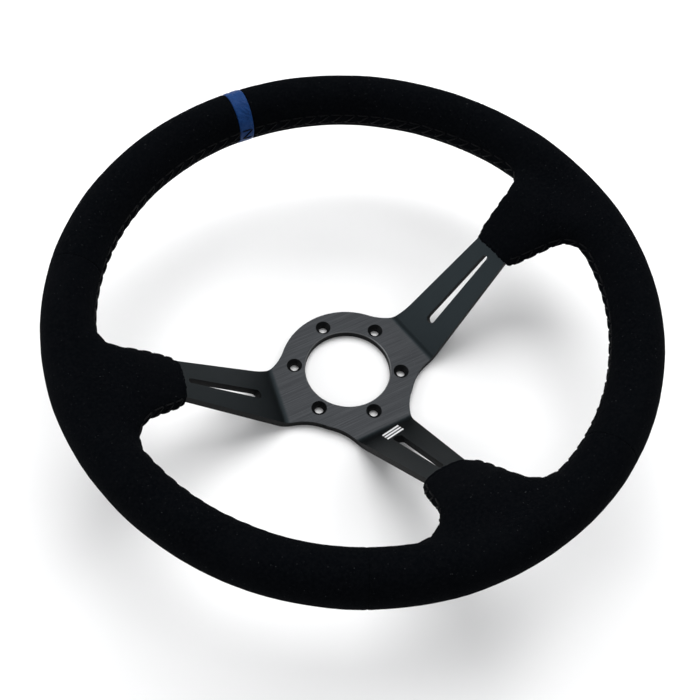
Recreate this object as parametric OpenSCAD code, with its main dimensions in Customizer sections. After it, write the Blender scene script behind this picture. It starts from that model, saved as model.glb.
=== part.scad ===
// Deep-dish three-spoke steering wheel.
// Origin: centre of the hub's rear mounting face. +Z runs along the steering axis towards the
// driver, +Y points to 12 o'clock and +X to 3 o'clock. All sizes are in millimetres.

/* [Rim] */
// Outside diameter of the rim
rim_d = 350; // [330:5:380]
// Width of the grip, seen from the front
grip_w = 29; // [26:0.5:33]
// Depth of the grip, front to back
grip_h = 33; // [29:0.5:37]
// Height of the rim's middle above the hub's rear face
dish = 83; // [75:1:91]
// Thickness of the suede and of the marker's leather
skin_t = 1; // [0.8:0.1:1.4]
// Gap left for the glue between the foam and the skin
glue_gap = 0.3; // [0.2:0.1:0.4]

/* [Hub] */
// Diameter of the round hub
hub_d = 88.6; // [84:0.2:94]
// Thickness of the aluminium plate
plate_t = 5; // [4:0.5:6]
// Diameter of the centre opening
bore_d = 56; // [50:0.5:58]
// Chamfer around the centre opening at the hub's front face
edge_chamfer = 0.6; // [0.3:0.1:1]
// Pitch circle diameter of the mounting bolts
bolt_pcd = 70; // [70:0.5:74]
// Number of mounting bolts
bolt_count = 6; // [3:1:6]
// Clearance hole for an M5 bolt
bolt_hole_d = 5.8; // [5.3:0.1:6]
// Diameter of the countersink at the front face
countersink_d = 10; // [9:0.5:11]

/* [Spokes] */
// Angle between the spokes and the hub's plane
spoke_rise = 43.8; // [42:0.2:46]
// Distance from the hub's centre to the front corner of the first bend
bend_at = 49.5; // [48:0.5:52]
// Radius on the inside of each bend
bend_r = 8; // [6:1:10]
// Half width that the spoke's edges would have at the hub's centre
spoke_half_w = 24.8; // [22:0.2:27]
// Loss of half width for each millimetre outwards
spoke_taper = 0.118; // [0.08:0.002:0.13]
// Radius of the webs that blend the spokes into the hub
web_r = 34; // [28:1:38]
// Direction of the two side spokes above the horizontal
side_angle = 9.7; // [6:0.1:12]
// Distance by which the side spokes' centrelines pass below the hub's centre
side_offset = 8; // [4:0.5:10]
// Distance along the spoke at which each lightening slot starts
slot_from = 64.6; // [62:0.2:68]
// Distance along the spoke at which each lightening slot ends
slot_to = 102.8; // [92:0.2:103]
// Radius at the wide end of the slot
slot_r_wide = 3; // [2:0.1:4]
// Radius at the narrow end of the slot
slot_r_narrow = 1.6; // [0.8:0.1:2.4]

/* [Rim core] */
// Width of the flat ring inside the rim
core_w = 12; // [10:1:14]
// Thickness of the flat ring
core_t = 3; // [2:0.5:4]
// Diameter of the rivets that hold the spokes on the ring
rivet_d = 4.8; // [4:0.2:5]
// Distance between the two rivets of a spoke
rivet_gap = 16; // [12:1:18]
// Half width of the tab that each spoke ends in
tab_half_w = 14; // [12:1:16]

/* [Boots over the spokes] */
// Distance along the spoke at which the suede boots end
cuff_at = 106.5; // [104:0.5:112]
// Half width of a boot at its cuff
cuff_half_w = 13.4; // [12.8:0.2:15]
// Half depth of a boot at its cuff
cuff_half_h = 5.6; // [5.2:0.2:6.6]
// Sideways turn of the two side boots towards the rim, in millimetres for each millimetre outwards
side_drift = 0.27; // [0:0.01:0.3]

/* [Joins and seams] */
// Width of the marker at 12 o'clock
marker_w = 11; // [8:0.5:20]
// Angle from 3 o'clock up to the upper joins of the suede
upper_join = 33; // [25:1:45]
// Angle from 6 o'clock out to the lower joins of the suede
lower_join = 27; // [22:1:35]
// Radius of the raised line of stitches
thread_r = 0.9; // [0.6:0.1:1.2]
// Angle on each side of a spoke that the boot's flare takes out of the inner seam
boot_half_angle = 19; // [17:1:22]

/* [Hidden] */

$fn = 64;
section_fn = 24;
pocket_gap = 0.2;
web_bite = 0.03;

// How far the foam stays back from a boot's cuff.
foam_back = 1;

// Height of a rivet's head, its width against the shank's, and its small end against its wide end.
head_h = 1.2;
head_ratio = 1.8;
head_dome = 0.7;
head_d = head_ratio * rivet_d;

ring_r = rim_d / 2 - grip_w / 2;
skin_out = [grip_w / 2, grip_h / 2];
skin_in = skin_out - [skin_t, skin_t];
foam_half = skin_in - [glue_gap, glue_gap];

// A spoke is [direction, distance that its centreline passes below the hub's centre, 1 or -1].
// -1 mirrors it from right to left.
right_spoke = [side_angle, side_offset, 1];
left_spoke = [side_angle, side_offset, -1];
bottom_spoke = [-90, 0, 1];
spokes = [right_spoke, left_spoke, bottom_spoke];

// Where the plate's faces and middle turn at the two bends.
corner_shift = plate_t * tan(spoke_rise / 2);
tab_z = dish - plate_t / 2;
tab_at = bend_at + tab_z / tan(spoke_rise);
tab_end = ring_r + core_w / 2 - 1;

// Where a spoke's edges start and stop widening into its tab, which is hidden in the rim.
flare_to = ring_r - core_w / 2 - 4;
flare_from = flare_to - 10;

// Where the middle of the plate turns, and how far each bend reaches along the plate.
middle_at = bend_at + corner_shift / 2;
tangent_in = bend_r * tan(spoke_rise / 2);
tangent_out = (bend_r + plate_t) * tan(spoke_rise / 2);

// Sizes of cutting shapes that only have to be large enough.
sheet_w = 120;
tall = 3 * dish;
through = 1;

// Heights of the ring and of the rivets, which sit on the front of the spokes' tabs.
core_z = dish + plate_t / 2;
rivet_from = tab_z - head_h;
rivet_to = core_z + core_t + head_h;

// Stations of a boot beyond its cuff: distance along the spoke, then half width and half depth.
waist = [119, 18, 9];
shoulder = [132, 23, 11.5];
root = [ring_r - 8.5, 42, 11];

// Angles at which the inner seam starts and stops, between the boots.
inner_r = ring_r - grip_w / 2;
side_below = side_offset + side_drift * (inner_r - cuff_at);
side_at = side_angle - asin(side_below / inner_r);
bead_runs = [
    [side_at + boot_half_angle, 180 - side_at - boot_half_angle],
    [180 - side_at + boot_half_angle, 270 - boot_half_angle],
    [270 + boot_half_angle, 360 + side_at - boot_half_angle]
];
marker_half_angle = asin(marker_w / 2 / ring_r);

// Half width of a spoke at a distance along it.
function half_w(s) = spoke_half_w - spoke_taper * s;

// Height of the plate's middle on the rising part.
function plate_z(s) = plate_t / 2 + (s - middle_at) * tan(spoke_rise);

// Centre of the web circle that touches the hub and one edge of a spoke. side is 1 or -1.
function web_centre(offset, side) =
    let (
        slant = sqrt(1 + pow(spoke_taper, 2)),
        reach = hub_d / 2 + web_r,
        rise = spoke_half_w - side * offset + web_r * slant,
        mixed = spoke_taper * rise,
        s = (mixed + sqrt(pow(mixed, 2) - pow(slant, 2) * (pow(rise, 2) - pow(reach, 2))))
            / pow(slant, 2)
    )
    [s, side * (spoke_half_w - spoke_taper * s + web_r * slant)];

// Moves a spoke drawn along +X to its place on the wheel.
module place(spoke) {
    mirror([spoke[2] < 0 ? 1 : 0, 0, 0])
        rotate([0, 0, spoke[0]])
            translate([0, -spoke[1], 0])
                children();
}

// Points of an arc, from one angle to another.
function arc(centre, r, from, to, steps = 10) =
    [for (i = [0 : steps])
        let (a = from + (to - from) * i / steps)
        centre + r * [cos(a), sin(a)]];

// Side view of the bent plate: flat at the hub, rising spoke, flat tab in the rim.
module plate_side() {
    first = [bend_at - tangent_in, plate_t + bend_r];
    second = [tab_at + tangent_out, tab_z - bend_r];
    polygon(concat(
        [[0, plate_t]],
        arc(first, bend_r, -90, spoke_rise - 90),
        arc(second, bend_r + plate_t, spoke_rise + 90, 90),
        [[tab_end, tab_z + plate_t], [tab_end, tab_z]],
        arc(second, bend_r, 90, spoke_rise + 90),
        arc(first, bend_r + plate_t, spoke_rise - 90, -90),
        [[0, 0]]
    ));
}

module bent_sheet() {
    translate([0, sheet_w / 2, 0])
        rotate([90, 0, 0])
            linear_extrude(sheet_w)
                plate_side();
}

// Plan view of one spoke with its two webs, drawn along +X. The webs' circles bite a hair into
// the hub and the spoke, so that their edges cross instead of only touching.
module spoke_plan(offset) {
    edge = [
        [0, half_w(0)],
        [flare_from, half_w(flare_from)],
        [flare_to, tab_half_w],
        [ring_r + core_w, tab_half_w]
    ];
    polygon(concat(edge, [for (i = [len(edge) - 1 : -1 : 0]) [edge[i][0], -edge[i][1]]]));
    for (side = [-1, 1]) {
        centre = web_centre(offset, side);
        slant = sqrt(1 + pow(spoke_taper, 2));
        difference() {
            polygon([
                [0, offset],
                centre - (web_r + half_w(0) / 2) * [spoke_taper, side] / slant,
                centre
            ]);
            translate(centre)
                circle(web_r + web_bite);
        }
    }
}

// Teardrop slot, from the wide end at the origin to the narrow end on +X.
module slot_plan(length) {
    lean = 90 - asin((slot_r_wide - slot_r_narrow) / length);
    polygon(concat(
        arc([0, 0], slot_r_wide, lean, 360 - lean, 16),
        arc([length, 0], slot_r_narrow, -lean, lean)
    ));
}

module slot_cut() {
    translate([slot_from, 0, plate_z(slot_from)])
        rotate([0, -spoke_rise, 0])
            translate([0, 0, -2 * plate_t])
                linear_extrude(4 * plate_t)
                    slot_plan((slot_to - slot_from) / cos(spoke_rise));
}

module bolt_hole() {
    sink = (countersink_d - bolt_hole_d) / 2;
    translate([0, 0, -through])
        cylinder(d = bolt_hole_d, h = plate_t + 2 * through);
    translate([0, 0, plate_t - sink])
        cylinder(d1 = bolt_hole_d, d2 = countersink_d + 2 * through, h = sink + through);
}

module rivet_places() {
    for (spoke = spokes) {
        place(spoke)
            for (side = [-1, 1])
                translate([sqrt(pow(ring_r, 2) - pow(spoke[1], 2)), side * rivet_gap / 2, 0])
                    children();
    }
}

module bent_spokes() {
    for (spoke = spokes)
        place(spoke)
            intersection() {
                bent_sheet();
                linear_extrude(tall)
                    spoke_plan(spoke[1]);
            }
}

module spoke_frame() {
    color([0.16, 0.17, 0.19])
        difference() {
            union() {
                cylinder(d = hub_d, h = plate_t);
                bent_spokes();
            }
            translate([0, 0, -through])
                cylinder(d = bore_d, h = plate_t + 2 * through);
            translate([0, 0, plate_t - edge_chamfer])
                cylinder(d1 = bore_d, d2 = bore_d + 4 * edge_chamfer, h = 2 * edge_chamfer);
            for (i = [0 : bolt_count - 1])
                rotate([0, 0, 90 + i * 360 / bolt_count])
                    translate([bolt_pcd / 2, 0, 0])
                        bolt_hole();
            for (spoke = spokes)
                place(spoke)
                    slot_cut();
            rivet_places()
                translate([0, 0, tab_z - through])
                    cylinder(d = rivet_d, h = plate_t + 2 * through);
        }
}

module rim_core_ring() {
    color([0.75, 0.76, 0.78])
        difference() {
            translate([0, 0, core_z])
                cylinder(r = ring_r + core_w / 2, h = core_t);
            cylinder(r = ring_r - core_w / 2, h = tall);
            rivet_places()
                cylinder(d = rivet_d, h = tall);
        }
}

// Shank with a low round head at each end.
module rivet() {
    translate([0, 0, rivet_from + head_h])
        cylinder(d = rivet_d, h = rivet_to - rivet_from - 2 * head_h);
    translate([0, 0, rivet_from])
        cylinder(d1 = head_dome * head_d, d2 = head_d, h = head_h);
    translate([0, 0, rivet_to - head_h])
        cylinder(d1 = head_d, d2 = head_dome * head_d, h = head_h);
}

module spoke_rivets() {
    color([0.82, 0.83, 0.85])
        rivet_places()
            rivet();
}

// Grip without its boots. half is [half width, half depth] of the section.
module grip_ring(half, span = 360) {
    translate([0, 0, dish])
        rotate_extrude(angle = span)
            translate([ring_r, 0])
                polygon([for (i = [0 : section_fn - 1])
                    [half[0] * cos(i * 360 / section_fn), half[1] * sin(i * 360 / section_fn)]]);
}

// Thin upright slice of a boot at distance s, tilted to follow the spoke.
module boot_slice(s, z, tilt, half, grow, drift) {
    translate([s, -drift * max(s - cuff_at, 0), z])
        rotate([0, 90 - tilt, 0])
            scale([half[1] + grow, half[0] + grow, 1])
                cylinder(r = 1, h = 0.1, $fn = section_fn);
}

// Boot from its cuff to the inside of the rim, as three tapered lengths. grow thickens it, early
// starts it that much nearer the hub, and drift turns it sideways.
module boot(grow, early, drift) {
    cuff_s = cuff_at - early;
    stations = [
        [cuff_s, plate_z(cuff_s), spoke_rise, [cuff_half_w, cuff_half_h]],
        [waist[0], plate_z(waist[0]), spoke_rise, [waist[1], waist[2]]],
        [shoulder[0], plate_z(shoulder[0]), spoke_rise / 2, [shoulder[1], shoulder[2]]],
        [root[0], dish, 0, [root[1], root[2]]]
    ];
    for (i = [0 : len(stations) - 2])
        hull() {
            for (station = [stations[i], stations[i + 1]])
                boot_slice(station[0], station[1], station[2], station[3], grow, drift);
        }
}

// The padded shape: grip and three boots. half is the grip's section.
module padded_shape(half, grow, early) {
    grip_ring(half);
    for (spoke = spokes)
        place(spoke)
            boot(grow, early, spoke[1] > 0 ? side_drift : 0);
}

// Room for everything metal inside the padding.
module metal_pocket() {
    bent_spokes();
    translate([0, 0, core_z])
        difference() {
            cylinder(r = ring_r + core_w / 2 + pocket_gap, h = core_t + pocket_gap);
            translate([0, 0, -through])
                cylinder(r = ring_r - core_w / 2 - pocket_gap, h = core_t + 2 * through);
        }
    rivet_places()
        translate([0, 0, rivet_from - pocket_gap])
            cylinder(
                d = head_d + 2 * pocket_gap,
                h = rivet_to - rivet_from + 2 * pocket_gap,
                $fn = 16
            );
}

module foam_rim() {
    color([0.20, 0.20, 0.21])
        difference() {
            padded_shape(foam_half, 0, -foam_back);
            metal_pocket();
        }
}

// Wedge from one angle to another, wide enough for the whole wheel.
module wedge(from, to) {
    steps = 6;
    linear_extrude(tall)
        polygon(concat(
            [[0, 0]],
            [for (i = [0 : steps])
                let (a = from + (to - from) * i / steps)
                rim_d * [cos(a), sin(a)]]
        ));
}

// Seam bead along the inner circumference, standing half proud of the skin.
module inner_bead(run) {
    translate([0, 0, dish])
        rotate([0, 0, run[0]])
            rotate_extrude(angle = run[1] - run[0])
                translate([inner_r, 0])
                    circle(thread_r, $fn = 16);
}

module all_beads() {
    for (run = bead_runs)
        inner_bead(run);
}

// Length of plain skin without a boot, as a true ring sector.
module plain_skin(from, to) {
    difference() {
        rotate([0, 0, from])
            grip_ring(skin_out, to - from);
        rotate([0, 0, from - 1])
            grip_ring(skin_in, to - from + 2);
        inner_bead(bead_runs[0]);
    }
}

// Skin of a sector that holds a boot. The plate passes out through the cuff.
module boot_skin(from, to) {
    difference() {
        intersection() {
            padded_shape(skin_out, skin_t + glue_gap, 0);
            wedge(from, to);
        }
        padded_shape(skin_in, glue_gap, foam_back);
        bent_spokes();
        all_beads();
    }
}

module suede(from, to, boot = false) {
    color([0.055, 0.055, 0.062])
        if (boot)
            boot_skin(from, to);
        else
            plain_skin(from, to);
}

module suede_upper_left() {
    suede(90 + marker_half_angle, 180 - upper_join);
}

module suede_upper_right() {
    suede(upper_join, 90 - marker_half_angle);
}

module suede_left() {
    suede(180 - upper_join, 270 - lower_join, boot = true);
}

module suede_right() {
    suede(270 + lower_join, 360 + upper_join, boot = true);
}

module suede_bottom() {
    suede(270 - lower_join, 270 + lower_join, boot = true);
}

module centre_marker_band() {
    color([0.09, 0.22, 0.52])
        plain_skin(90 - marker_half_angle, 90 + marker_half_angle);
}

module seam_thread(run) {
    color([0.03, 0.03, 0.035])
        inner_bead(run);
}

module seam_thread_upper() {
    seam_thread(bead_runs[0]);
}

module seam_thread_lower_left() {
    seam_thread(bead_runs[1]);
}

module seam_thread_lower_right() {
    seam_thread(bead_runs[2]);
}

spoke_frame();
rim_core_ring();
spoke_rivets();
foam_rim();
suede_upper_left();
suede_upper_right();
suede_left();
suede_right();
suede_bottom();
centre_marker_band();
seam_thread_upper();
seam_thread_lower_left();
seam_thread_lower_right();
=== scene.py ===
"""Deep-dish three-spoke steering wheel: suede grip, leather marker and stitching round the CAD frame."""
import math
from collections import namedtuple

import bmesh
import bpy
import numpy as np
from mathutils import Matrix, Vector


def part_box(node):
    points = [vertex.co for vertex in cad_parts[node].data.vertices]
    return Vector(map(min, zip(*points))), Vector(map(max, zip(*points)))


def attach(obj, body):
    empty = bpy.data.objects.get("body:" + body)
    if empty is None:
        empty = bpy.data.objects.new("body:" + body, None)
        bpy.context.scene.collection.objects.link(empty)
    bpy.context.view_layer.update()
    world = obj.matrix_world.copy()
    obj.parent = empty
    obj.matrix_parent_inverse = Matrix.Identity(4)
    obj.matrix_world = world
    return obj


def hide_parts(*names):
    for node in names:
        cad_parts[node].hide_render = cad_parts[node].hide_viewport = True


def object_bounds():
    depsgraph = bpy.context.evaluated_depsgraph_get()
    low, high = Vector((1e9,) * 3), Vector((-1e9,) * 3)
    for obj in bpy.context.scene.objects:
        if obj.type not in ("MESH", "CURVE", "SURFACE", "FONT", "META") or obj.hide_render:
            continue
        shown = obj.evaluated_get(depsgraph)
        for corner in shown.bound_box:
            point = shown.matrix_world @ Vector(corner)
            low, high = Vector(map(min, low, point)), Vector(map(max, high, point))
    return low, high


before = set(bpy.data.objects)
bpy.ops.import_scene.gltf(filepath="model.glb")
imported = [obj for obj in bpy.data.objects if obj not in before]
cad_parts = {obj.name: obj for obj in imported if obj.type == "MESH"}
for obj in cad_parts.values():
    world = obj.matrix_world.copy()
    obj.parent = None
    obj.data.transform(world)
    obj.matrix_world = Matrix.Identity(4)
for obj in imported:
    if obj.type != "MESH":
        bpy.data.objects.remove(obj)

cad_lo, cad_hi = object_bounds()
MM = 0.001

# ---------------------------------------------------------------- sizes, in millimetres
band_lo, band_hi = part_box("centre_marker_band")
RIM_OUT = cad_hi.x / MM
MARKER_ANGLE = math.asin(band_hi.x / cad_hi.x)
GRIP_IN = band_lo.y / math.cos(MARKER_ANGLE) / MM
GRIP_A = (RIM_OUT - GRIP_IN) / 2
GRIP_B = (band_hi.z - band_lo.z) / 2 / MM
RING = RIM_OUT - GRIP_A
DISH = (band_hi.z + band_lo.z) / 2 / MM
SKIN = 1.0

# The bent plate, as in the CAD
PLATE_T = 5.0
RISE = math.radians(43.8)
BEND_AT = 49.5
MIDDLE_AT = BEND_AT + PLATE_T * math.tan(RISE / 2) / 2
SPOKE_HALF = 24.8
SPOKE_TAPER = 0.118
SPOKE_FROM = 43
CHAMFER_OUT = 28.9

# A spoke is its direction, sideways offset and side (-1 mirrors it), then what its hand-wrapped boot adds:
# sideways turn per mm, half width at the cuff, widening per mm, early widening, and fillet into the rim.
Spoke = namedtuple("Spoke", "direction offset side turn cuff_half widening early fillet")
SIDE = math.radians(9.7)
SIDE_OFFSET = 8.0
SPOKES = [
    Spoke(SIDE, SIDE_OFFSET, 1, 0.225, 13.1, 0.37, 1.5, 10.0),
    Spoke(SIDE, SIDE_OFFSET, -1, 0.30, 13.1, 0.26, 2.0, 16.0),
    Spoke(math.radians(-90), 0.0, 1, 0.0, 14.2, 0.15, 3.8, 18.0),
]
RIGHT, LEFT, BOTTOM = SPOKES

# Boots: where they end along the spoke, how far their cuff reaches sideways, and their section's squareness
CUFF = 106.5
BOOT_END = 158.0
CUFF_REACH = 16
ROUNDNESS = 2.4

# Joins of the suede. The seam lies SEAM_BACK behind the rim's middle, with a row of stitches at ROW on
# each side of it; a stitch repeats every PITCH and its diagonal covers REACH.
JOINS = [math.radians(a) for a in (33, 147, 243, 297)]
SEAM_BACK = 2.6
ROW = 3.6
PITCH = 8.6
REACH = 7.7
THREAD = 0.5

# Everything nearer the axis than this is the inner side of the rim.
INNER_SIDE = 157

# Middle of the patch of fine cross wrinkles: angle in degrees and distance from the axis
RIBS_AT = -17
RIBS_OUT = 163

# Grid steps of the two meshes, and how far the foam lies under the suede's outer surface
STEP = 1.7
FOAM_STEP = 3.0
FOAM_LEVEL = -1.35


# ---------------------------------------------------------------- the padded shape as a distance field
def smooth_min(a, b, k):
    h = np.clip(1 - np.abs(a - b) / k, 0, 1)
    return np.minimum(a, b) - h * h * k / 4


def smooth_step(x, a, b):
    t = np.clip((x - a) / (b - a), 0, 1)
    return t * t * (3 - 2 * t)


def to_spoke(p, spoke):
    """Distance along the spoke and sideways from its centreline."""
    angle, offset, side = spoke[:3]
    x = p[:, 0] * side
    s = x * math.cos(angle) + p[:, 1] * math.sin(angle)
    w = -x * math.sin(angle) + p[:, 1] * math.cos(angle) + offset
    return s, w


def off_boot_middle(s, w, spoke):
    """Sideways distance from a boot's own middle, which on the side spokes turns down towards the rim."""
    return w + spoke.turn * np.clip(s - CUFF, 0, 60)


def from_spoke(s, w, z, spoke):
    """Places given along and sideways from the spoke, at height z."""
    angle, offset, side = spoke[:3]
    w = w - offset
    x = s * math.cos(angle) - w * math.sin(angle)
    y = s * math.sin(angle) + w * math.cos(angle)
    return np.stack([x * side, y, z + 0 * x], -1)


def plate_middle(s):
    """Height of the plate's middle, levelling off inside the rim, and its slope."""
    k = 8.0
    line = PLATE_T / 2 + (s - MIDDLE_AT) * math.tan(RISE)
    h = np.clip(0.5 + 0.5 * (DISH - line) / k, 0, 1)
    return DISH * (1 - h) + line * h - k * h * (1 - h), math.tan(RISE) * h


def cuff_line(w):
    """Distance along the spoke at which the boot ends, a little further out in the middle."""
    return CUFF + 1.2 * (1 - (w / 14) ** 2) + 0.22 * np.sin(1.3 * w + 0.7) + 0.16 * np.sin(2.9 * w)


def boot_sizes(s, spoke):
    """Half width and half depth of a boot at a distance along the spoke."""
    out = s - CUFF
    width = spoke.cuff_half + spoke.widening * out + spoke.early * (1 - np.exp(-np.maximum(out, -2) / 4))
    height = 6.0 + 0.12 * np.minimum(out, 28) - 0.15 * np.maximum(out - 34, 0)
    return np.maximum(width, 5), np.maximum(height, 3)


def past_cuff(p, s, w):
    """Distance past the end of the cuff, measured along the slope."""
    cut = cuff_line(np.clip(w, -CUFF_REACH, CUFF_REACH))
    cut_z = PLATE_T / 2 + (cut - MIDDLE_AT) * math.tan(RISE)
    return (s - cut) * math.cos(RISE) + (p[:, 2] - cut_z) * math.sin(RISE)


def off_plate(p, s):
    """Distance of each point from the plate's middle, square to the plate."""
    m, slope = plate_middle(s)
    return (p[:, 2] - m) / np.sqrt(1 + slope * slope)


def boot_field(p, spoke):
    """Signed distance from one boot, and each point's distance from the plate's middle."""
    s, w = to_spoke(p, spoke)
    w = off_boot_middle(s, w, spoke)
    n = off_plate(p, s)
    width, height = boot_sizes(s, spoke)
    a, b, q = np.abs(w) / width, np.abs(n) / height, ROUNDNESS
    f = np.maximum((a ** q + b ** q) ** (1 / q), 1e-6)
    steep = np.hypot((a / f) ** (q - 1) / width, (b / f) ** (q - 1) / height)
    d = (f - 1) / steep
    d = -smooth_min(-d, past_cuff(p, s, w), 2.4)
    d = -smooth_min(-d, BOOT_END - s, 4.0)
    return np.where(s < 60, 99.0, d), n


def field(p):
    """Signed distance from the suede's outer surface, in mm."""
    rho = np.hypot(p[:, 0], p[:, 1])
    u, v = rho - RING, p[:, 2] - DISH
    k0 = np.maximum(np.hypot(u / GRIP_A, v / GRIP_B), 1e-6)
    k1 = np.maximum(np.hypot(u / GRIP_A ** 2, v / GRIP_B ** 2), 1e-9)
    d = k0 * (k0 - 1) / k1
    fade = np.clip((166 - rho) / 12, 0.3, 1)
    for spoke in SPOKES:
        boot, n = boot_field(p, spoke)
        d = smooth_min(d, boot, (7 + spoke.fillet * np.exp(-(n / 9) ** 2)) * fade)
    return d


def slope_of(value, p, e=0.05):
    """Gradient of a function of the points, by differences."""
    out = np.empty_like(p)
    for i in range(3):
        shift = np.zeros(3)
        shift[i] = e
        out[:, i] = (value(p + shift) - value(p - shift)) / (2 * e)
    return out


def gradient(p):
    return slope_of(field, p)


def onto(p, level=0.0, steps=3):
    """Points moved onto the surface where the field has that level."""
    for _ in range(steps):
        g = gradient(p)
        d = field(p) - level
        p = p - np.clip(d / np.maximum((g * g).sum(1), 0.2), -2, 2)[:, None] * g
    return p


def unit(v):
    return v / np.maximum(np.linalg.norm(v, axis=1, keepdims=True), 1e-9)


# ---------------------------------------------------------------- seam line and surface relief
def nearest_spoke(p):
    """Distance along and off the nearest spoke."""
    best_s, best_w = None, None
    for spoke in SPOKES:
        s, w = to_spoke(p, spoke)
        w = off_boot_middle(s, w, spoke)
        if best_s is None:
            best_s, best_w = s, w
            continue
        better = (s > 0) & ((np.abs(w) < np.abs(best_w)) | (best_s < 0))
        best_s, best_w = np.where(better, s, best_s), np.where(better, w, best_w)
    return best_s, best_w


def seam_height(p):
    """Height of the seam over each point: round the inside of the rim and down both sides of a boot."""
    s, w = nearest_spoke(p)
    m, _ = plate_middle(s)
    near = (1 - smooth_step(np.abs(w), 30, 46)) * (s > 0)
    back = SEAM_BACK * smooth_step(s, 118, 142)
    return (DISH - SEAM_BACK) * (1 - near) + (m - back) * near


def seam_value(p):
    """Height of each point above the seam."""
    return p[:, 2] - seam_height(p)


def seam_gradient(p):
    return slope_of(seam_value, p)


def waves(seed, count, shortest, longest):
    """A bank of waves with random directions, phases and lengths in mm."""
    rng = np.random.default_rng(seed)
    way = unit(rng.normal(size=(count, 3)))
    length = np.exp(rng.uniform(math.log(shortest), math.log(longest), count))
    return way * (2 * math.pi / length)[:, None], rng.uniform(0, 2 * math.pi, count), length / longest


UNEVEN = waves(11, 26, 12, 60)
FINE = waves(5, 30, 4, 9)
FOLDS = waves(23, 18, 1.1, 2.4)


def wavy(p, bank):
    k, phase, size = bank
    total = np.zeros(len(p))
    for i in range(len(phase)):
        total += size[i] * np.sin(p @ k[i] + phase[i])
    return total / math.sqrt((size ** 2).sum())


def unevenness(p):
    """Hand-wrapped suede is never quite even."""
    return 0.10 * wavy(p, UNEVEN) + 0.025 * wavy(p, FINE)


def seam_relief(p):
    """Groove of the seam, the lips beside it and the rows that the stitches pull in."""
    g = seam_value(p)
    s, w = nearest_spoke(p)
    rho = np.hypot(p[:, 0], p[:, 1])
    inner = 1 - smooth_step(rho, INNER_SIDE - 5, INNER_SIDE)
    on_boot = smooth_step(s, CUFF + 1.2, CUFF + 4) * (1 - smooth_step(s, 134, 144)) * (np.abs(w) < 40)
    along = np.where(on_boot > 0.5, s / math.cos(RISE), np.arctan2(p[:, 1], p[:, 0]) * GRIP_IN)
    pucker = 0.5 + 0.5 * np.cos(2 * math.pi * along / PITCH)
    groove = -0.62 * np.exp(-(g / 0.62) ** 2)
    lip = 0.12 * np.exp(-((np.abs(g) - 1.9) / 0.9) ** 2) * (0.5 + pucker)
    row = -0.14 * np.exp(-((np.abs(g) - ROW) / 0.8) ** 2) * (0.35 + 0.65 * pucker)
    live = np.where(s < CUFF + 1.2, 0.0, 1.0)
    return (groove + lip + row) * inner * live


def cuff_depth(p):
    """Distance past the nearest cuff's end."""
    best = np.full(len(p), 99.0)
    for spoke in SPOKES:
        s, w = to_spoke(p, spoke)
        best = np.where((np.abs(w) < 30) & (s > 90), np.minimum(best, past_cuff(p, s, w)), best)
    return best


def cuff_relief(p):
    """The turned-in edge stands a little proud, with a shallow glue line behind it."""
    q = cuff_depth(p)
    return 0.30 * np.exp(-((q - 1.5) / 0.9) ** 2) - 0.28 * np.exp(-((q - 3.6) / 0.8) ** 2)


def join_relief(p, angles, depth=0.22, width=0.45):
    """Shallow valley where two panels meet, with a faint lip on each side."""
    rho = np.hypot(p[:, 0], p[:, 1])
    total = np.zeros(len(p))
    for a in angles:
        across = -p[:, 0] * math.sin(a) + p[:, 1] * math.cos(a)
        ahead = p[:, 0] * math.cos(a) + p[:, 1] * math.sin(a) > 0
        dip = -depth * np.exp(-(across / width) ** 2)
        dip += 0.05 * np.exp(-((np.abs(across) - 1.7) / 0.9) ** 2)
        total += np.where(ahead & (rho > 130), dip, 0)
    return total


def rib_relief(p):
    """Fine cross wrinkles on the front right of the rim."""
    angle = np.arctan2(p[:, 1], p[:, 0])
    rho = np.hypot(p[:, 0], p[:, 1])
    there = np.exp(-((np.degrees(angle) - RIBS_AT) / 7.0) ** 4) * np.exp(-((rho - RIBS_OUT) / 7) ** 2)
    ribs = np.sin(2 * math.pi * (angle * RING + 0.8 * np.sin(rho * 0.9)) / 2.6)
    return 0.13 * (there * (p[:, 2] > DISH)) * ribs


BAND_EDGES = [math.pi / 2 - MARKER_ANGLE, math.pi / 2 + MARKER_ANGLE]


def relief(p):
    """Height of the finished surface over the plain padded shape."""
    joins = join_relief(p, JOINS) + join_relief(p, BAND_EDGES, 0.35, 0.5)
    return unevenness(p) + seam_relief(p) + joins + rib_relief(p) + cuff_relief(p)


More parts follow.
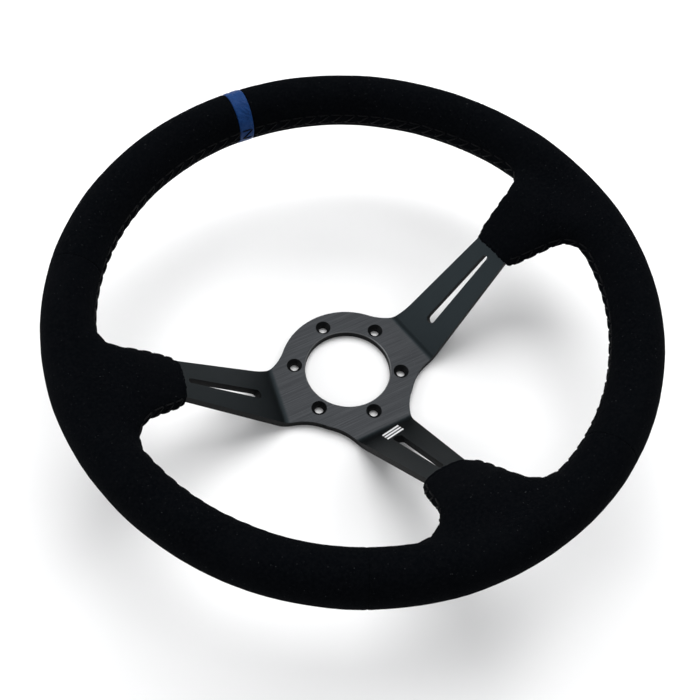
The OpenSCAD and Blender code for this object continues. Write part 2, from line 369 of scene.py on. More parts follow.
# ---------------------------------------------------------------- surface of the field as a quad mesh
def surface_net(step, level):
    """Points and quads of the surface where the field has that level, from a grid with that step."""
    lo = np.array([-RIM_OUT - 3, -RIM_OUT - 3, 46.0])
    hi = np.array([RIM_OUT + 3, RIM_OUT + 3, DISH + GRIP_B + 3])
    axes = [np.arange(lo[i], hi[i] + step, step) for i in range(3)]
    shape = [len(a) for a in axes]
    value = np.empty(shape)
    gy, gz = np.meshgrid(axes[1], axes[2], indexing="ij")
    for i, x in enumerate(axes[0]):
        p = np.stack([np.full(gy.size, x), gy.ravel(), gz.ravel()], -1)
        value[i] = field(p).reshape(gy.shape) - level
    inside = value < 0
    corners = [(i, j, k) for i in (0, 1) for j in (0, 1) for k in (0, 1)]

    def corner(a, c):
        return a[c[0]:shape[0] - 1 + c[0], c[1]:shape[1] - 1 + c[1], c[2]:shape[2] - 1 + c[2]]

    count = sum(corner(inside, c).astype(np.int8) for c in corners)
    active = (count > 0) & (count < 8)
    number = np.full(active.shape, -1, np.int64)
    number[active] = np.arange(active.sum())
    cells = np.argwhere(active)
    vals = {c: corner(value, c)[active] for c in corners}
    total, hits = np.zeros((len(cells), 3)), np.zeros(len(cells))
    for a in corners:
        for axis in range(3):
            if a[axis]:
                continue
            b = tuple(1 if i == axis else a[i] for i in range(3))
            va, vb = vals[a], vals[b]
            cross = (va < 0) != (vb < 0)
            t = np.where(cross, va / np.where(cross, va - vb, 1), 0)
            at = np.tile(np.array(a, float), (len(cells), 1))
            at[:, axis] += t
            total += at * cross[:, None]
            hits += cross
    points = lo + (cells + total / hits[:, None]) * step
    faces = []
    for axis in range(3):
        other = [i for i in range(3) if i != axis]
        first = [slice(None)] * 3
        second = [slice(None)] * 3
        first[axis], second[axis] = slice(0, -1), slice(1, None)
        change = inside[tuple(first)] != inside[tuple(second)]
        at = np.argwhere(change)
        at = at[(at[:, other[0]] > 0) & (at[:, other[1]] > 0)]
        at = at[(at[:, other[0]] < shape[other[0]] - 1) & (at[:, other[1]] < shape[other[1]] - 1)]
        quad = []
        for du, dv in ((1, 1), (0, 1), (0, 0), (1, 0)):
            c = at.copy()
            c[:, other[0]] -= du
            c[:, other[1]] -= dv
            quad.append(number[c[:, 0], c[:, 1], c[:, 2]])
        quad = np.stack(quad, -1)
        flip = inside[at[:, 0], at[:, 1], at[:, 2]]
        if axis == 1:
            flip = ~flip
        quad[~flip] = quad[~flip][:, ::-1]
        faces.append(quad)
    return points, np.concatenate(faces)


def evened(points, faces, level, rounds=4):
    """Slides the points along the surface towards their neighbours' middle, which evens the quads."""
    edges = np.concatenate([faces[:, [i, (i + 1) % 4]] for i in range(4)])
    for _ in range(rounds):
        total, hits = np.zeros_like(points), np.zeros(len(points))
        for a, b in ((0, 1), (1, 0)):
            hits += np.bincount(edges[:, a], minlength=len(points))
            for i in range(3):
                total[:, i] += np.bincount(edges[:, a], weights=points[edges[:, b], i], minlength=len(points))
        middle = total / np.maximum(hits, 1)[:, None]
        points = onto(points + 0.6 * (middle - points), level, 1)
    return onto(points, level, 2)


# ---------------------------------------------------------------- mesh helpers
def mesh_object(name, points, faces, material):
    mesh = bpy.data.meshes.new(name)
    mesh.from_pydata((np.asarray(points) * MM).tolist(), [], [list(map(int, f)) for f in faces])
    mesh.update()
    mesh.polygons.foreach_set("use_smooth", [True] * len(mesh.polygons))
    obj = bpy.data.objects.new(name, mesh)
    bpy.context.scene.collection.objects.link(obj)
    obj.data.materials.append(material)
    return obj


def bm_points(bm):
    return np.array([v.co for v in bm.verts], float).reshape(-1, 3)


def chosen_faces(bm, test):
    """Faces whose middle passes the test, with their edges and points."""
    middles = np.array([f.calc_center_median() for f in bm.faces], float).reshape(-1, 3)
    picked = test(middles)
    faces = [f for f, yes in zip(bm.faces, picked) if yes]
    edges = dict.fromkeys(e for f in faces for e in f.edges)
    verts = dict.fromkeys(v for f in faces for v in f.verts)
    return list(verts) + list(edges) + faces


# Points nearer a cut than this are moved onto it.
SNAP = 0.12


def cut_seam_loops(bm, levels):
    """Edge loops at these heights above and below the seam, on the inner side and on the boots.
    The mesh is moved down by the seam's height, cut level and moved back up."""
    for level in levels:
        points = bm_points(bm)
        near = chosen_faces(
            bm,
            lambda m: (np.hypot(m[:, 0], m[:, 1]) < INNER_SIDE) & (np.abs(seam_value(m) - level) < 4),
        )
        height = seam_height(points)
        for v, h in zip(bm.verts, height):
            v.co.z -= h
        bmesh.ops.bisect_plane(bm, geom=near, dist=SNAP, plane_co=(0, 0, level), plane_no=(0, 0, 1))
        bm.verts.ensure_lookup_table()
        points = bm_points(bm)
        snap = np.abs(points[:, 2] - level) < SNAP
        rho = np.hypot(points[:, 0], points[:, 1])
        points[snap & (rho < INNER_SIDE), 2] = level
        height = seam_height(points)
        for v, q, h in zip(bm.verts, points, height):
            v.co.z = q[2] + h


def cut_radial(bm, angle, shifts):
    """Edge loops across the rim at a join."""
    ahead = Vector((math.cos(angle), math.sin(angle), 0))
    across = Vector((-math.sin(angle), math.cos(angle), 0))
    for shift in shifts:
        near = chosen_faces(
            bm,
            lambda m: (m @ np.array(ahead) > 0) & (np.abs(m @ np.array(across) - shift) < 5),
        )
        bmesh.ops.bisect_plane(bm, geom=near, dist=0.1, plane_co=across * shift, plane_no=across)


def refine(bm, test):
    """Splits the faces that pass the test into nine."""
    middles = np.array([f.calc_center_median() for f in bm.faces], float)
    edges = dict.fromkeys(e for f, yes in zip(bm.faces, test(middles)) if yes for e in f.edges)
    bmesh.ops.subdivide_edges(bm, edges=list(edges), cuts=2, use_grid_fill=True)


def on_ribs(p):
    rho = np.hypot(p[:, 0], p[:, 1])
    angle = np.degrees(np.arctan2(p[:, 1], p[:, 0]))
    return (np.abs(angle - RIBS_AT) < 9) & (np.abs(rho - RIBS_OUT) < 12) & (p[:, 2] > DISH)


def on_cuffs(p):
    return cuff_depth(p) < 5.5


# ---------------------------------------------------------------- node helpers for materials
def new_material(name):
    material = bpy.data.materials.new(name)
    material.use_nodes = True
    tree = material.node_tree
    shader = tree.nodes["Principled BSDF"]
    return material, tree, shader


def node(tree, kind, inputs=None, **settings):
    made = tree.nodes.new(kind)
    for key, value in settings.items():
        setattr(made, key, value)
    for key, value in (inputs or {}).items():
        if isinstance(value, bpy.types.NodeSocket):
            tree.links.new(value, made.inputs[key])
        else:
            made.inputs[key].default_value = value
    return made


def object_place(tree):
    return node(tree, "ShaderNodeTexCoord").outputs["Object"]


def stretched(tree, place, scale, turn=0.0):
    inputs = {"Vector": place, "Scale": scale, "Rotation": (0, 0, turn)}
    return node(tree, "ShaderNodeMapping", inputs).outputs[0]


def noise(tree, vector, scale, detail=2.0, roughness=0.5):
    inputs = {"Vector": vector, "Scale": scale, "Detail": detail, "Roughness": roughness}
    return node(tree, "ShaderNodeTexNoise", inputs).outputs["Fac"]


def ramp(tree, value, stops):
    made = node(tree, "ShaderNodeValToRGB", {"Fac": value})
    while len(made.color_ramp.elements) < len(stops):
        made.color_ramp.elements.new(0.5)
    for element, (at, colour) in zip(made.color_ramp.elements, stops):
        element.position = at
        element.color = (*colour, 1)
    return made.outputs["Color"]


def grey(v):
    return (v, v, v)


def math_node(tree, operation, a, b=0.0, c=0.0):
    made = node(tree, "ShaderNodeMath", operation=operation)
    for i, value in enumerate((a, b, c)):
        if isinstance(value, bpy.types.NodeSocket):
            tree.links.new(value, made.inputs[i])
        else:
            made.inputs[i].default_value = value
    return made.outputs[0]


def bump(tree, height, distance, strength=1.0, below=None):
    inputs = {"Height": height, "Distance": distance, "Strength": strength}
    if below is not None:
        inputs["Normal"] = below
    return node(tree, "ShaderNodeBump", inputs).outputs[0]


def mixed(tree, factor, a, b):
    """Colour a where the factor is 0 and b where it is 1; sockets 0, 6 and 7 are factor and colours."""
    made = node(tree, "ShaderNodeMix", data_type="RGBA")
    for i, value in ((0, factor), (6, a), (7, b)):
        if isinstance(value, bpy.types.NodeSocket):
            tree.links.new(value, made.inputs[i])
        else:
            made.inputs[i].default_value = value if i == 0 else (*value, 1)
    return made.outputs[2]


# ---------------------------------------------------------------- materials
def suede_material():
    material, tree, shader = new_material("black_suede")
    place = object_place(tree)
    patches = noise(tree, place, 38, 4, 0.55)
    brushed = noise(tree, stretched(tree, place, (260, 900, 500)), 1.0, 3, 0.6)
    fibres = noise(tree, place, 2600, 3, 0.7)
    mottle = ramp(tree, noise(tree, place, 620, 2, 0.6), [(0.40, grey(0.0)), (0.66, grey(0.75))])
    lint = noise(tree, place, 1050, 1, 0.4)
    base = ramp(tree, patches, [
        (0.3, (0.0007, 0.0010, 0.0015)),
        (0.52, (0.0010, 0.0014, 0.0020)),
        (0.72, (0.0019, 0.0023, 0.0030)),
    ])
    nap = mixed(tree, math_node(tree, "MULTIPLY", fibres, 0.6), base, (0.0026, 0.0031, 0.0042))
    nap = mixed(tree, mottle, nap, (0.0030, 0.0034, 0.0042))
    nap = mixed(tree, math_node(tree, "MULTIPLY", brushed, 0.35), nap, (0.0004, 0.0006, 0.0010))
    specks = ramp(tree, lint, [(0.745, grey(0.0)), (0.80, grey(0.5))])
    colour = mixed(tree, specks, nap, (0.045, 0.047, 0.050))
    tree.links.new(colour, shader.inputs["Base Color"])
    rough = math_node(tree, "MULTIPLY_ADD", patches, 0.1, 0.86)
    tree.links.new(rough, shader.inputs["Roughness"])
    shader.inputs["Specular IOR Level"].default_value = 0.008
    shader.inputs["Sheen Weight"].default_value = 0.0025
    shader.inputs["Sheen Roughness"].default_value = 0.45
    shader.inputs["Sheen Tint"].default_value = (0.80, 0.88, 1.0, 1)
    low = bump(tree, patches, 0.0006, 0.5)
    mid = bump(tree, brushed, 0.00022, 0.6, low)
    tree.links.new(bump(tree, fibres, 0.00020, 0.9, mid), shader.inputs["Normal"])
    return material


def leather_material():
    material, tree, shader = new_material("blue_marker_leather")
    place = object_place(tree)
    inputs = {"Vector": place, "Scale": 1150.0, "Randomness": 1.0}
    cells = node(tree, "ShaderNodeTexVoronoi", inputs, feature="DISTANCE_TO_EDGE").outputs["Distance"]
    pores = ramp(tree, cells, [(0.0, grey(0.0)), (0.16, grey(1.0))])
    tone = noise(tree, place, 160, 3, 0.5)
    crease = noise(tree, stretched(tree, place, (330, 900, 900), 0.5), 1.0, 2, 0.5)
    base = ramp(tree, tone, [(0.3, (0.0022, 0.026, 0.108)), (0.7, (0.0045, 0.038, 0.150))])
    colour = mixed(tree, math_node(tree, "MULTIPLY_ADD", pores, -0.45, 0.45), base, (0.0015, 0.010, 0.050))
    tree.links.new(colour, shader.inputs["Base Color"])
    tree.links.new(math_node(tree, "MULTIPLY_ADD", tone, 0.16, 0.42), shader.inputs["Roughness"])
    shader.inputs["Specular IOR Level"].default_value = 0.10
    low = bump(tree, crease, 0.0006, 0.55)
    tree.links.new(bump(tree, pores, 0.00009, 0.8, low), shader.inputs["Normal"])
    return material


def thread_material():
    material, tree, shader = new_material("black_thread")
    place = object_place(tree)
    ply = noise(tree, place, 1900, 2, 0.6)
    colour = ramp(tree, ply, [(0.3, (0.0005, 0.0006, 0.0010)), (0.7, (0.0018, 0.0020, 0.0028))])
    tree.links.new(colour, shader.inputs["Base Color"])
    tree.links.new(math_node(tree, "MULTIPLY_ADD", ply, 0.2, 0.42), shader.inputs["Roughness"])
    shader.inputs["Specular IOR Level"].default_value = 0.05
    tree.links.new(bump(tree, ply, 0.00016, 0.9), shader.inputs["Normal"])
    return material


def dot(tree, vector, constant):
    made = node(tree, "ShaderNodeVectorMath", {0: vector, 1: constant}, operation="DOT_PRODUCT")
    return made.outputs["Value"]


def along_spoke(tree, place, spoke):
    """Sockets for the distance along a spoke and sideways from it, in metres."""
    angle, offset, side = spoke[:3]
    s = dot(tree, place, (math.cos(angle) * side, math.sin(angle), 0))
    w = dot(tree, place, (-math.sin(angle) * side, math.cos(angle), 0))
    return s, math_node(tree, "ADD", w, offset * MM)


# Mark printed at the foot of the bottom spoke: three parallel slanted bars
MARK_AT = 53.1
MARK_GAP = 2.5
MARK_SIDE = 1.3
MARK_LEAN = 0.2
BAR_HALF = (0.72, 6.6)


def bar_mask(tree, s, w, s_mid):
    """1 inside one bar of the mark."""
    ds = math_node(tree, "SUBTRACT", s, s_mid * MM)
    dw = math_node(tree, "SUBTRACT", w, MARK_SIDE * MM)
    ds = math_node(tree, "MULTIPLY_ADD", dw, MARK_LEAN, ds)
    in_s = math_node(tree, "LESS_THAN", math_node(tree, "ABSOLUTE", ds), BAR_HALF[0] * MM)
    in_w = math_node(tree, "LESS_THAN", math_node(tree, "ABSOLUTE", dw), BAR_HALF[1] * MM)
    return math_node(tree, "MULTIPLY", in_s, in_w)


def mark_mask(tree, place):
    """1 inside the mark."""
    s, w = along_spoke(tree, place, BOTTOM)
    bars = [bar_mask(tree, s, w, MARK_AT + MARK_GAP * i) for i in range(3)]
    return math_node(tree, "MAXIMUM", math_node(tree, "MAXIMUM", bars[0], bars[1]), bars[2])


def chamfer_mask(tree, place, normal):
    """1 on the chamfer round the centre opening, which gets a lighter colour that is partly bare cut metal
    and partly a painted highlight.
    """
    in_plan = node(tree, "ShaderNodeVectorMath", {0: place, 1: (1, 1, 0)}, operation="MULTIPLY").outputs[0]
    reach = node(tree, "ShaderNodeVectorMath", {0: in_plan}, operation="LENGTH").outputs["Value"]
    near_bore = math_node(tree, "LESS_THAN", reach, CHAMFER_OUT * MM)
    tilt = math_node(tree, "COMPARE", dot(tree, normal, (0, 0, 1)), math.cos(math.radians(45)), 0.06)
    return math_node(tree, "MULTIPLY", near_bore, tilt)


def eased(tree, value, low, high):
    """0 below low, 1 above high, smooth between."""
    inputs = {"Value": value, "From Min": low, "From Max": high}
    return node(tree, "ShaderNodeMapRange", inputs, interpolation_type="SMOOTHSTEP").outputs[0]


def faces_outside_painted_shade(tree, place, normal):
    """1 on the plate's broad faces and bends, 0 on cut edges, slot walls and countersinks, which get painted
    shade.
    """
    facing = math_node(tree, "ABSOLUTE", dot(tree, normal, (0, 0, 1)))
    for spoke in SPOKES:
        angle, _, side = spoke[:3]
        inwards = -math.sin(RISE)
        lean = (inwards * math.cos(angle) * side, inwards * math.sin(angle), math.cos(RISE))
        s, _ = along_spoke(tree, place, spoke)
        past_hub = math_node(tree, "GREATER_THAN", s, SPOKE_FROM * MM)
        along = math_node(tree, "MULTIPLY", math_node(tree, "ABSOLUTE", dot(tree, normal, lean)), past_hub)
        facing = math_node(tree, "MAXIMUM", facing, along)
    return eased(tree, facing, 0.86, 0.92)


def plate_material():
    """Brushed hub, smoother slate spokes, near-black painted shade on cut faces, slot walls and countersinks,
    a chamfer lightened partly as bare cut metal and partly as a painted highlight, and the printed mark.
    """
    material, tree, shader = new_material("black_anodised_plate")
    coordinates = node(tree, "ShaderNodeTexCoord")
    place, normal = coordinates.outputs["Object"], coordinates.outputs["Normal"]
    hub = eased(tree, math_node(tree, "ABSOLUTE", dot(tree, normal, (0, 0, 1))), 0.955, 1.0)
    faces = faces_outside_painted_shade(tree, place, normal)
    lines = noise(tree, stretched(tree, place, (22, 2600, 60)), 1.0, 5, 0.75)
    soft = noise(tree, stretched(tree, place, (9, 520, 30)), 1.0, 3, 0.6)
    cloud = noise(tree, place, 22, 2, 0.5)
    grain = noise(tree, place, 3200, 1, 0.5)
    brushed = ramp(tree, lines, [
        (0.30, (0.0085, 0.0092, 0.0101)),
        (0.5, (0.0215, 0.0226, 0.0243)),
        (0.70, (0.0450, 0.0468, 0.0495)),
    ])
    brushed = mixed(tree, math_node(tree, "MULTIPLY", soft, 0.45), brushed, (0.0150, 0.0160, 0.0174))
    slate = ramp(tree, lines, [(0.32, (0.0090, 0.0122, 0.0137)), (0.68, (0.0126, 0.0165, 0.0184))])
    slate = mixed(tree, math_node(tree, "MULTIPLY", cloud, 0.35), slate, (0.0146, 0.0184, 0.0203))
    base = mixed(tree, hub, slate, brushed)
    base = mixed(tree, math_node(tree, "MULTIPLY", grain, 0.22), base, (0.024, 0.027, 0.030))
    # Painted shade: cut edges, slot walls and countersinks get a near-black colour, where shade falls on
    # them.
    base = mixed(tree, faces, (0.0022, 0.0026, 0.0030), base)
    # Painted highlight, partly real: the chamfer is lightened partly as its bare cut metal and partly as a
    # highlight.
    chamfer = chamfer_mask(tree, place, normal)
    base = mixed(tree, chamfer, base, (0.16, 0.165, 0.17))
    mark = math_node(tree, "MULTIPLY", mark_mask(tree, place), faces)
    colour = mixed(tree, mark, base, (0.66, 0.67, 0.68))
    tree.links.new(colour, shader.inputs["Base Color"])
    # Not metallic on the painted-shade walls, so they stay near-black; metallic on the broad faces and the
    # chamfer, not on the mark.
    metal = math_node(tree, "SUBTRACT", math_node(tree, "MAXIMUM", faces, chamfer), mark)
    tree.links.new(metal, shader.inputs["Metallic"])
    rough = math_node(tree, "MULTIPLY_ADD", lines, 0.14, 0.32)
    rough = math_node(tree, "MULTIPLY_ADD", cloud, 0.06, rough)
    rough = math_node(tree, "MULTIPLY_ADD", math_node(tree, "SUBTRACT", 1.0, faces), 0.15, rough)
    tree.links.new(rough, shader.inputs["Roughness"])
    shader.inputs["Specular IOR Level"].default_value = 0.08
    low = bump(tree, lines, 0.00003, 0.5)
    tree.links.new(bump(tree, grain, 0.00001, 0.4, low), shader.inputs["Normal"])
    return material


def bare_metal(name, colour, rough, stretch):
    material, tree, shader = new_material(name)
    place = object_place(tree)
    lines = noise(tree, stretched(tree, place, stretch), 1.0, 3, 0.6)
    shade = ramp(tree, lines, [(0.3, tuple(c * 0.75 for c in colour)), (0.7, colour)])
    tree.links.new(shade, shader.inputs["Base Color"])
    shader.inputs["Metallic"].default_value = 1.0
    tree.links.new(math_node(tree, "MULTIPLY_ADD", lines, 0.2, rough), shader.inputs["Roughness"])
    tree.links.new(bump(tree, lines, 0.00003, 0.5), shader.inputs["Normal"])
    return material


def foam_material():
    material, tree, shader = new_material("moulded_foam")
    place = object_place(tree)
    cells = node(tree, "ShaderNodeTexVoronoi", {"Vector": place, "Scale": 900.0}).outputs["Distance"]
    shade = ramp(tree, cells, [(0.1, grey(0.016)), (0.7, grey(0.034))])
    tree.links.new(shade, shader.inputs["Base Color"])
    tree.links.new(math_node(tree, "MULTIPLY_ADD", cells, 0.1, 0.85), shader.inputs["Roughness"])
    tree.links.new(bump(tree, cells, 0.0002, 0.6), shader.inputs["Normal"])
    return material


# ---------------------------------------------------------------- the suede skin, cut into its panels
def skin_mesh():
    """The suede's plain surface, with edge loops along the seam and joins, finer at the ribs and cuffs."""
    points, faces = surface_net(STEP, 0.0)
    points = evened(points, faces, 0.0)
    bm = bmesh.new()
    verts = [bm.verts.new(p) for p in points.tolist()]
    for f in faces.tolist():
        bm.faces.new([verts[i] for i in f])
    bm.verts.ensure_lookup_table()
    cut_seam_loops(bm, [0.0] + [side * off for off in (0.5, 1.1, 1.9, 2.9, ROW, 4.4) for side in (1, -1)])
    for a in JOINS:
        cut_radial(bm, a, [0.0, 0.5, -0.5, 1.1, -1.1, 2.0, -2.0])
    for a, out in ((BAND_EDGES[0], -1), (BAND_EDGES[1], 1)):
        cut_radial(bm, a, [0.0, 0.5 * out, 1.1 * out, 2.0 * out])
    refine(bm, lambda m: on_ribs(m) | on_cuffs(m))
    bmesh.ops.recalc_face_normals(bm, faces=bm.faces[:])
    bm.verts.index_update()
    points = bm_points(bm)
    faces = [[v.index for v in f.verts] for f in bm.faces]
    bm.free()
    points = onto(points, 0.0, 2)
    return points, faces


def hidden_in_plate(p):
    """True inside the metal of a spoke, where the cuff's end needs a hole."""
    hit = np.zeros(len(p), bool)
    for spoke in SPOKES:
        s, w = to_spoke(p, spoke)
        n = off_plate(p, s)
        half = SPOKE_HALF - SPOKE_TAPER * s
        hit |= (np.abs(w) < half - 0.5) & (np.abs(n) < PLATE_T / 2 - 0.4) & (np.abs(s - CUFF) < 6)
    return hit


def sub_mesh(points, faces, keep):
    """The faces to keep and the points that they use."""
    kept = [f for f, yes in zip(faces, keep) if yes]
    used = sorted({i for f in kept for i in f})
    number = {old: new for new, old in enumerate(used)}
    return points[used], [[number[i] for i in f] for f in kept]


def thicken(obj):
    """Gives a skin its thickness, inwards."""
    solid = obj.modifiers.new("thickness", "SOLIDIFY")
    solid.thickness = SKIN * MM
    solid.offset = -1
    solid.use_rim = True
    return obj


def finished(obj, replaced):
    """Fixes a piece to the wheel's one body, in place of a CAD node."""
    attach(obj, "root")
    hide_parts(replaced)


suede = suede_material()
skin_points, skin_faces = skin_mesh()
middle = np.array([skin_points[f].mean(0) for f in skin_faces])
outward = unit(gradient(skin_points))
skin_points = skin_points + outward * relief(skin_points)[:, None]
angle = np.arctan2(middle[:, 1], middle[:, 0]) % (2 * math.pi)
shown = ~hidden_in_plate(middle)
PANELS = {
    "suede_upper_right": (JOINS[0], BAND_EDGES[0]),
    "suede_upper_left": (BAND_EDGES[1], JOINS[1]),
    "suede_left": (JOINS[1], JOINS[2]),
    "suede_bottom": (JOINS[2], JOINS[3]),
    "suede_right": (JOINS[3], JOINS[0] + 2 * math.pi),
}
for name, (start, end) in PANELS.items():
    turned = np.where(angle < start, angle + 2 * math.pi, angle)
    part = sub_mesh(skin_points, skin_faces, shown & (turned >= start) & (turned < end))
    panel = mesh_object(name + "_skin", *part, suede)
    finished(thicken(panel), name)


# ---------------------------------------------------------------- foam under the skin
foam_points, foam_faces = surface_net(FOAM_STEP, FOAM_LEVEL)
foam_points = evened(foam_points, foam_faces, FOAM_LEVEL, 2)
foam = mesh_object("foam_grip", foam_points, foam_faces, foam_material())
finished(foam, "foam_rim")


# ---------------------------------------------------------------- leather marker at 12 o'clock
def marker_band():
    """Strip round the grip: domed, with its edges tucked in and fine folds across its front."""
    across, around = 30, 260
    rows = []
    for j in range(around):
        psi = 2 * math.pi * j / around
        for i in range(across + 1):
            u = -1 + 2 * i / across
            a = math.pi / 2 + MARKER_ANGLE * u * 0.985
            rho = RING + GRIP_A * math.cos(psi)
            rows.append((rho * math.cos(a), rho * math.sin(a), DISH + GRIP_B * math.sin(psi), u))
    rows = np.array(rows)
    p = onto(rows[:, :3], 0.0, 1)
    u = rows[:, 3]
    shape = 0.16 * (1 - u ** 4) - 0.75 * np.clip((np.abs(u) - 0.90) / 0.10, 0, 1) ** 2
    normal = unit(gradient(p))
    over_folds = 0.6 * p[:, 0] + 0.8 * p[:, 2]
    along_folds = 0.8 * p[:, 0] - 0.6 * p[:, 2]
    folds = wavy(np.stack([over_folds, 0.22 * along_folds, 0 * over_folds], -1), FOLDS)
    crease = 0.12 * folds * np.exp(-((p[:, 2] - DISH - 12) / 6) ** 2)
    p = p + normal * (shape + seam_relief(p) + 0.4 * unevenness(p) + crease)[:, None]
    faces = []
    for j in range(around):
        k = (j + 1) % around
        for i in range(across):
            a, b = j * (across + 1) + i, k * (across + 1) + i
            faces.append([a, a + 1, b + 1, b])
    return p, faces


band = mesh_object("marker_band_leather", *marker_band(), leather_material())
finished(thicken(band), "centre_marker_band")


# ---------------------------------------------------------------- seam line and its stitches
def trace_seam(spoke_from, side_from, spoke_to):
    """Points each half millimetre from one boot's cuff, round the inside of the rim, to the next boot's cuff.
    side_from is the side of the first boot that the seam starts on."""
    start = from_spoke(np.array([CUFF + 2.5]), np.array([side_from * 15.0]), np.zeros(1), spoke_from)
    start[:, 2] = seam_height(start)
    p = start
    path = []
    way = None
    for _ in range(4000):
        for _ in range(2):
            n, g = gradient(p), seam_gradient(p)
            p = p - n * field(p)[:, None] / (n * n).sum()
            p = p - g * seam_value(p)[:, None] / (g * g).sum()
        tangent = unit(np.cross(gradient(p), seam_gradient(p)))
        if way is None:
            s_axis = from_spoke(np.array([1.0]), np.array([0.0]), np.zeros(1), spoke_from)
            s_axis = s_axis - from_spoke(np.array([0.0]), np.array([0.0]), np.zeros(1), spoke_from)
            way = 1 if (tangent * s_axis).sum() > 0 else -1
        path.append(p[0].copy())
        s, w = to_spoke(p, spoke_to)
        if len(path) > 200 and s[0] < CUFF + 3 and abs(w[0]) < 30 and s[0] > 60:
            break
        p = p + 0.5 * way * tangent
    return np.array(path)


def tube(points, sides=6):
    """Closed tube of thread along points, tapered at both ends."""
    count = len(points)
    ahead = unit(np.gradient(points, axis=0))
    normal = unit(gradient(points))
    side = unit(np.cross(ahead, normal))
    up = np.cross(side, ahead)
    ring = []
    for i in range(count):
        r = THREAD * (0.75 if i in (0, count - 1) else 1)
        for j in range(sides):
            a = 2 * math.pi * j / sides
            ring.append(points[i] + r * (math.cos(a) * side[i] + math.sin(a) * up[i]))
    faces = []
    for i in range(count - 1):
        for j in range(sides):
            k = (j + 1) % sides
            faces.append([i * sides + j, i * sides + k, (i + 1) * sides + k, (i + 1) * sides + j])
    faces.append(list(range(sides))[::-1])
    faces.append([(count - 1) * sides + j for j in range(sides)])
    return np.array(ring), faces


def stitches(path, centred):
    """Crossed stitches over a seam: a bar on each row and a diagonal for each pitch. Where the run passes
    12 o'clock, one diagonal is centred on the marker."""
    steps = np.concatenate([[0], np.cumsum(np.linalg.norm(np.diff(path, axis=0), axis=1))])
    length = steps[-1]
    count = int(length / PITCH)
    pitch = length / count
    first = 0.0
    if centred:
        top = steps[np.argmin(np.abs(path[:, 0]) + 1000 * (path[:, 1] < 0))]
        first = (top - 0.3 - REACH / 2) % pitch - pitch
        count += 1
    rng = np.random.default_rng(7)

    def along(t):
        return np.stack([np.interp(t, steps, path[:, i]) for i in range(3)], -1)

    def on_skin(t, r, lift):
        """Points at distances t along the seam and r to its side, lifted off the skin."""
        base = along(t)
        ahead = along(t + 0.5) - along(t - 0.5)
        side = unit(np.cross(unit(gradient(base)), unit(ahead)))
        p = onto(base + side * r[:, None], 0.0, 2)
        return p + unit(gradient(p)) * (lift + unevenness(p) + cuff_relief(p))[:, None]

    all_points, all_faces, total = [], [], 0
    for i in range(count):
        t0 = first + i * pitch
        jog = rng.uniform(-0.25, 0.25, 4)
        runs = [(t0 + 0.2, t0 + REACH, -ROW + jog[0] * 0.5, ROW + jog[1] * 0.5, 10)]
        runs.append((t0 + 0.5 + jog[2], t0 + pitch - 0.4, -ROW, -ROW + jog[0] * 0.3, 6))
        runs.append((t0 + REACH - pitch + 0.5, t0 + REACH - 0.4 + jog[3], ROW + jog[1] * 0.3, ROW, 6))
        for a, b, ra, rb, n in runs:
            a, b = max(a, 0.2), min(b, length - 0.2)
            if b - a < 2:
                continue
            f = np.linspace(0, 1, n)
            dip = np.exp(-f * (n - 1) / 0.7) + np.exp(-(1 - f) * (n - 1) / 0.7)
            lift = 0.20 - 0.80 * dip
            p = on_skin(a + (b - a) * f, ra + (rb - ra) * f, lift)
            ring, faces = tube(p)
            all_points.append(ring)
            all_faces += [[v + total for v in face] for face in faces]
            total += len(ring)
    return np.concatenate(all_points), all_faces


thread = thread_material()
RUNS = {
    "seam_thread_upper": (RIGHT, 1, LEFT),
    "seam_thread_lower_left": (LEFT, -1, BOTTOM),
    "seam_thread_lower_right": (RIGHT, -1, BOTTOM),
}
for name, (spoke_from, side_from, spoke_to) in RUNS.items():
    path = trace_seam(spoke_from, side_from, spoke_to)
    sewn = mesh_object(name + "_stitches", *stitches(path, name == "seam_thread_upper"), thread)
    finished(sewn, name)


# ---------------------------------------------------------------- finishes of the CAD parts that stay
def repaint(name, material):
    """Gives a CAD node its material."""
    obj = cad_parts[name]
    obj.data.materials.clear()
    obj.data.materials.append(material)


repaint("spoke_frame", plate_material())
repaint("rim_core_ring", bare_metal("bare_core", (0.62, 0.63, 0.65), 0.3, (300, 300, 1500)))
repaint("spoke_rivets", bare_metal("rivet_metal", (0.70, 0.71, 0.73), 0.22, (700, 700, 700)))


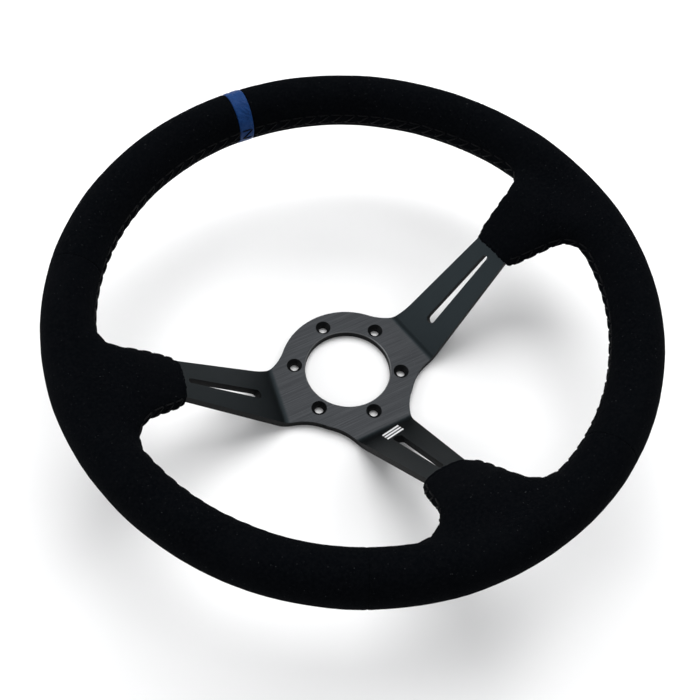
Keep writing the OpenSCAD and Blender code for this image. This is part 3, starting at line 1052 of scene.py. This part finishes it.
# ---------------------------------------------------------------- floor, light and camera
def pale_floor():
    bm = bmesh.new()
    bmesh.ops.create_grid(bm, x_segments=8, y_segments=8, size=6.0)
    mesh = bpy.data.meshes.new("studio_floor")
    bm.to_mesh(mesh)
    bm.free()
    obj = bpy.data.objects.new("studio_floor", mesh)
    bpy.context.scene.collection.objects.link(obj)
    obj.location.z = cad_lo.z - 0.0006
    material, tree, shader = new_material("pale_floor")
    tone = noise(tree, object_place(tree), 3, 2, 0.5)
    tree.links.new(ramp(tree, tone, [(0.3, grey(0.86)), (0.7, grey(0.88))]), shader.inputs["Base Color"])
    shader.inputs["Roughness"].default_value = 0.95
    shader.inputs["Specular IOR Level"].default_value = 0.1
    mesh.materials.append(material)


def softbox(name, place, size, power):
    """Rectangular area light that faces the wheel's middle."""
    light = bpy.data.lights.new(name, "AREA")
    light.shape = "RECTANGLE"
    light.size, light.size_y = size
    light.energy = power
    obj = bpy.data.objects.new(name, light)
    bpy.context.scene.collection.objects.link(obj)
    obj.location = place
    obj.rotation_mode = "QUATERNION"
    obj.rotation_quaternion = (Vector((0, 0, 0.05)) - Vector(place)).to_track_quat("-Z", "Y")


pale_floor()
softbox("key", (0.40, 0.65, 1.6), (1.4, 1.4), 28)
softbox("left", (-1.6, 0.7, 0.8), (1.3, 1.0), 21)
softbox("front_fill", (0.2, -1.7, 1.2), (1.8, 1.1), 6)
softbox("right_fill", (1.5, 0.3, 1.0), (1.2, 1.0), 11)

world = bpy.data.worlds.new("studio")
world.use_nodes = True
world.node_tree.nodes["Background"].inputs["Color"].default_value = (0.97, 0.98, 1.0, 1)
world.node_tree.nodes["Background"].inputs["Strength"].default_value = 0.36
bpy.context.scene.world = world
bpy.context.scene.view_settings.view_transform = "Standard"

camera = bpy.data.cameras.new("photo_camera")
camera.sensor_width = 36.0
camera.lens = 42.005
camera.shift_x = 0.0179
camera.shift_y = 0.0507
eye = bpy.data.objects.new("photo_camera", camera)
bpy.context.scene.collection.objects.link(eye)
right = Vector((0.8808743, -0.4705424, 0.0514807))
down = Vector((-0.3910666, -0.7847100, -0.4809335))
ahead = Vector((0.2666971, 0.4035096, -0.8752444))
turn = Matrix((right, -down, -ahead)).transposed()
eye.matrix_world = Matrix.Translation((-0.153017, -0.221399, 0.467162)) @ turn.to_4x4()
bpy.context.scene.camera = eye
